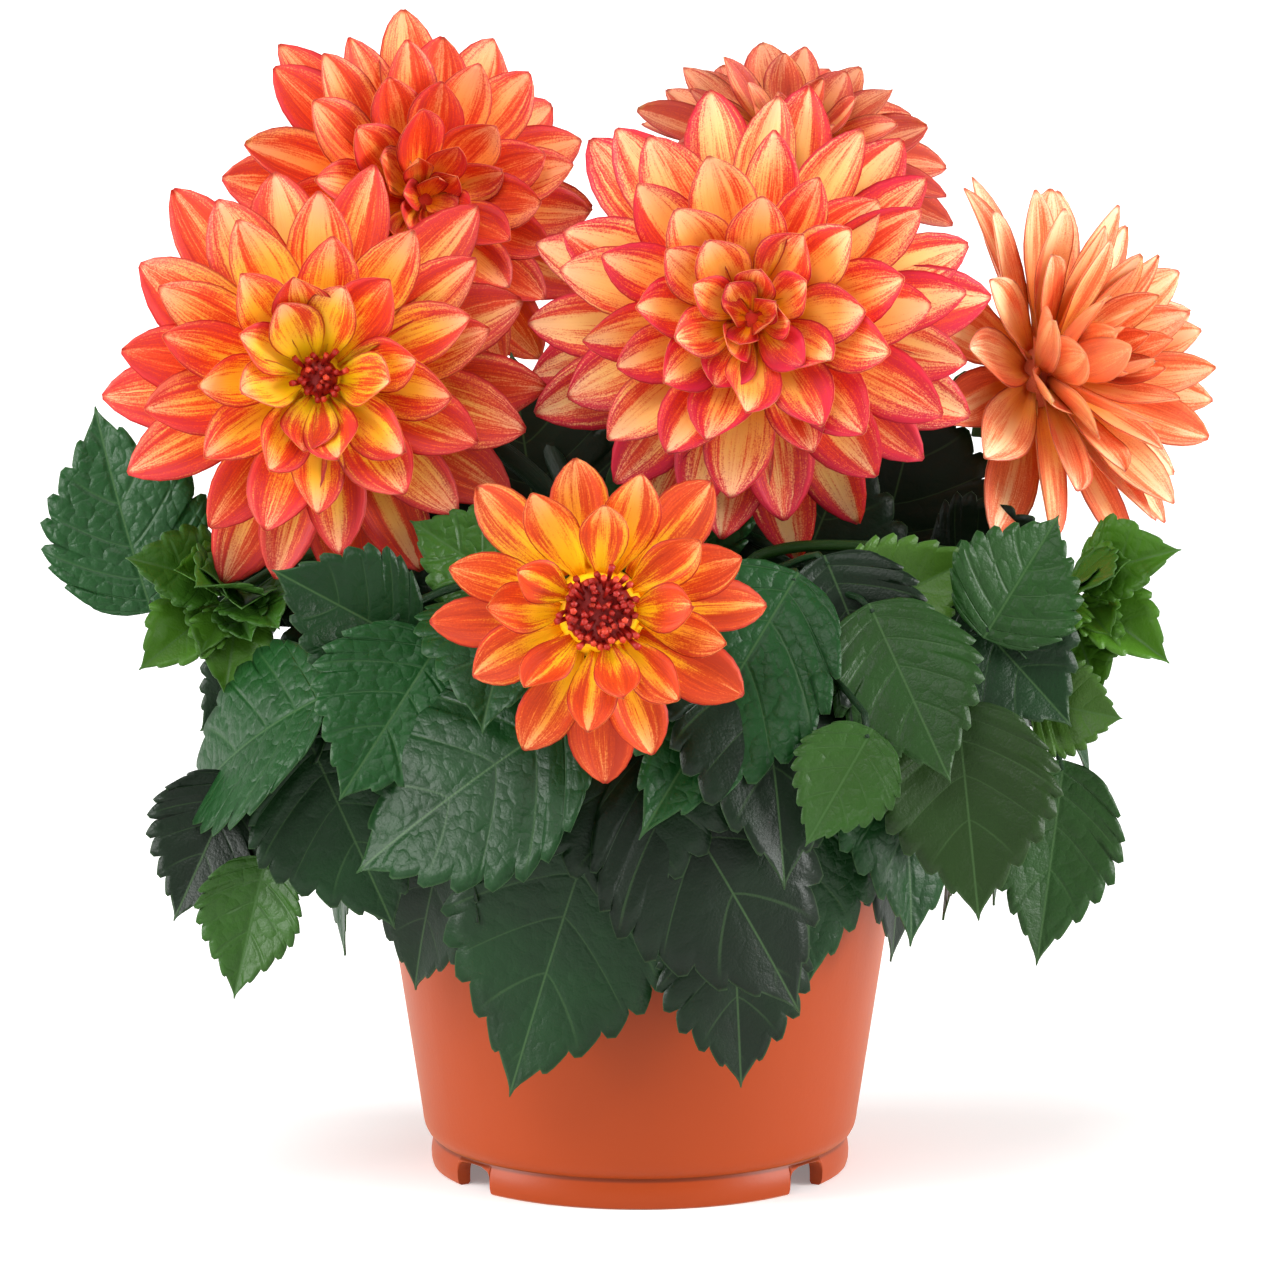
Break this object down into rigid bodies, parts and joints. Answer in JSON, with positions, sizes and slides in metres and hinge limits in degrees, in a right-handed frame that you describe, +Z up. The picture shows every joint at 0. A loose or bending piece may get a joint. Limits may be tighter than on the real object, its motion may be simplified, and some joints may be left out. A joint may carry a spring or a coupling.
{
  "type": "potted dahlia",
  "caption": "Dahlia plant with striped orange and peach many-petalled heads over toothed dark leaves, standing in soil in a round tapered pot with a notched foot.",
  "frame": {"origin": "middle of the plant's footprint at the pot's foot, on the surface it stands on; the pot's own axis passes through it", "axes": "+Z up along the pot's axis; -Y is the front, towards which the small front head looks; +X to the right seen from the front"},
  "size_m": [0.2787, 0.2299, 0.2728],
  "materials": {
    "pot_plastic": "satin",
    "soil": "matte",
    "foliage": "satin",
    "young_foliage": "satin",
    "petals_coral": "matte",
    "petals_golden": "matte",
    "petals_peach": "matte",
    "petals_salmon": "matte",
    "disc_florets": "matte"
  },
  "bodies": {
    "root": {"pot": "pot_plastic", "soil": "soil", "shoot_left": "young_foliage", "shoot_right": "young_foliage", "stem_upper_left": "foliage", "head_upper_left": "petals_coral", "stem_left_front": "foliage", "head_left_front": "petals_golden", "disc_left_front": "disc_florets", "stem_centre_right": "foliage", "head_centre_right": "petals_peach", "stem_top_right": "foliage", "head_top_right": "petals_coral", "stem_right": "foliage", "head_right": "petals_salmon", "stem_small_front": "foliage", "head_small_front": "petals_golden", "disc_small_front": "disc_florets"}
  },
  "joints": []
}
